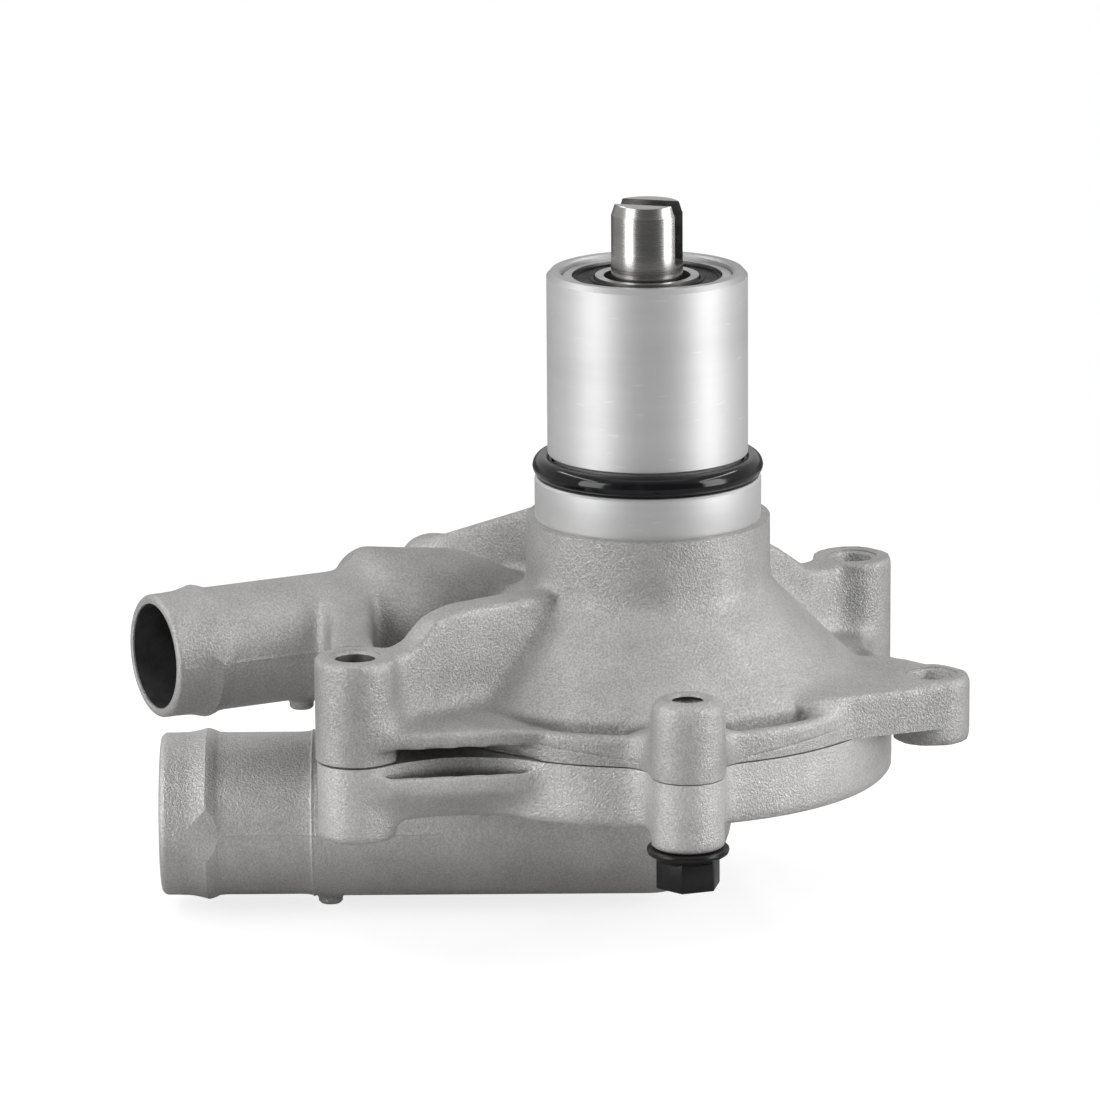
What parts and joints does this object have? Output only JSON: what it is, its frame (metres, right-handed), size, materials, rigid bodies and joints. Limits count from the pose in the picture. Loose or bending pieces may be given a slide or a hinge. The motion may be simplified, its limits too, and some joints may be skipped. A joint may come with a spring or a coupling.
{
  "type": "water pump",
  "caption": "Engine-driven water pump: cast body with snout and slotted shaft, cast cover with hose pipes, impeller, face seal and sealed bearings inside.",
  "frame": {"origin": "where the shaft's axis crosses the joint between the body and the cover", "axes": "+Z along the shaft towards its slotted drive end; the large inlet pipe points along -X; +Y is the side of the closed bolt boss"},
  "size_m": [0.1167, 0.0779, 0.1003],
  "materials": {
    "body_casting": "blasted casting with a machined snout",
    "cover_casting": "blasted casting",
    "black_rubber": "smooth, slightly glossy",
    "brown_rubber": "moulded",
    "blackened_steel": "black oxide",
    "bright_steel": "plain",
    "ground_steel": "ground round",
    "bearing_steel": "polished",
    "cage_plastic": "moulded",
    "seal_brass": "pressed",
    "carbon": "lapped face",
    "white_ceramic": "lapped face",
    "impeller_plastic": "moulded, glass-filled"
  },
  "bodies": {
    "housing": {"pump_body": "body_casting", "pump_cover": "cover_casting", "cover_seal": "black_rubber", "snout_oring": "black_rubber", "cover_bolts": "blackened_steel", "locating_dowels": "bright_steel", "upper_outer_race": "bearing_steel", "upper_bearing_seals": "black_rubber", "lower_outer_race": "bearing_steel", "lower_bearing_seals": "black_rubber", "bearing_spacer": "bright_steel", "oil_seal_shell": "bright_steel", "oil_seal_lip": "brown_rubber", "oil_seal_garter": "bright_steel", "seal_case": "seal_brass", "seal_spring": "bright_steel", "seal_bellows": "black_rubber", "carbon_ring": "carbon"},
    "rotor": {"drive_shaft": "ground_steel", "upper_inner_race": "bearing_steel", "lower_inner_race": "bearing_steel", "impeller": "impeller_plastic", "impeller_insert": "seal_brass", "impeller_bolt": "bright_steel", "ceramic_ring": "white_ceramic", "seat_cup": "black_rubber"},
    "upper_ball_set": {"upper_balls": "bearing_steel", "upper_cage": "cage_plastic"},
    "lower_ball_set": {"lower_balls": "bearing_steel", "lower_cage": "cage_plastic"}
  },
  "joints": [
    {"name": "shaft_spin", "type": "hinge", "parent": "housing", "child": "rotor", "pos_m": [0, 0, 0], "axis": [0, 0, 1], "continuous": true},
    {"name": "upper_balls_spin", "type": "hinge", "parent": "housing", "child": "upper_ball_set", "pos_m": [0, 0, 0.0584], "axis": [0, 0, 1], "continuous": true},
    {"name": "lower_balls_spin", "type": "hinge", "parent": "housing", "child": "lower_ball_set", "pos_m": [0, 0, 0.041], "axis": [0, 0, 1], "continuous": true}
  ],
  "couplings": [
    {"joint": "upper_balls_spin", "follows": "shaft_spin", "ratio": 0.4189},
    {"joint": "lower_balls_spin", "follows": "shaft_spin", "ratio": 0.4189}
  ]
}
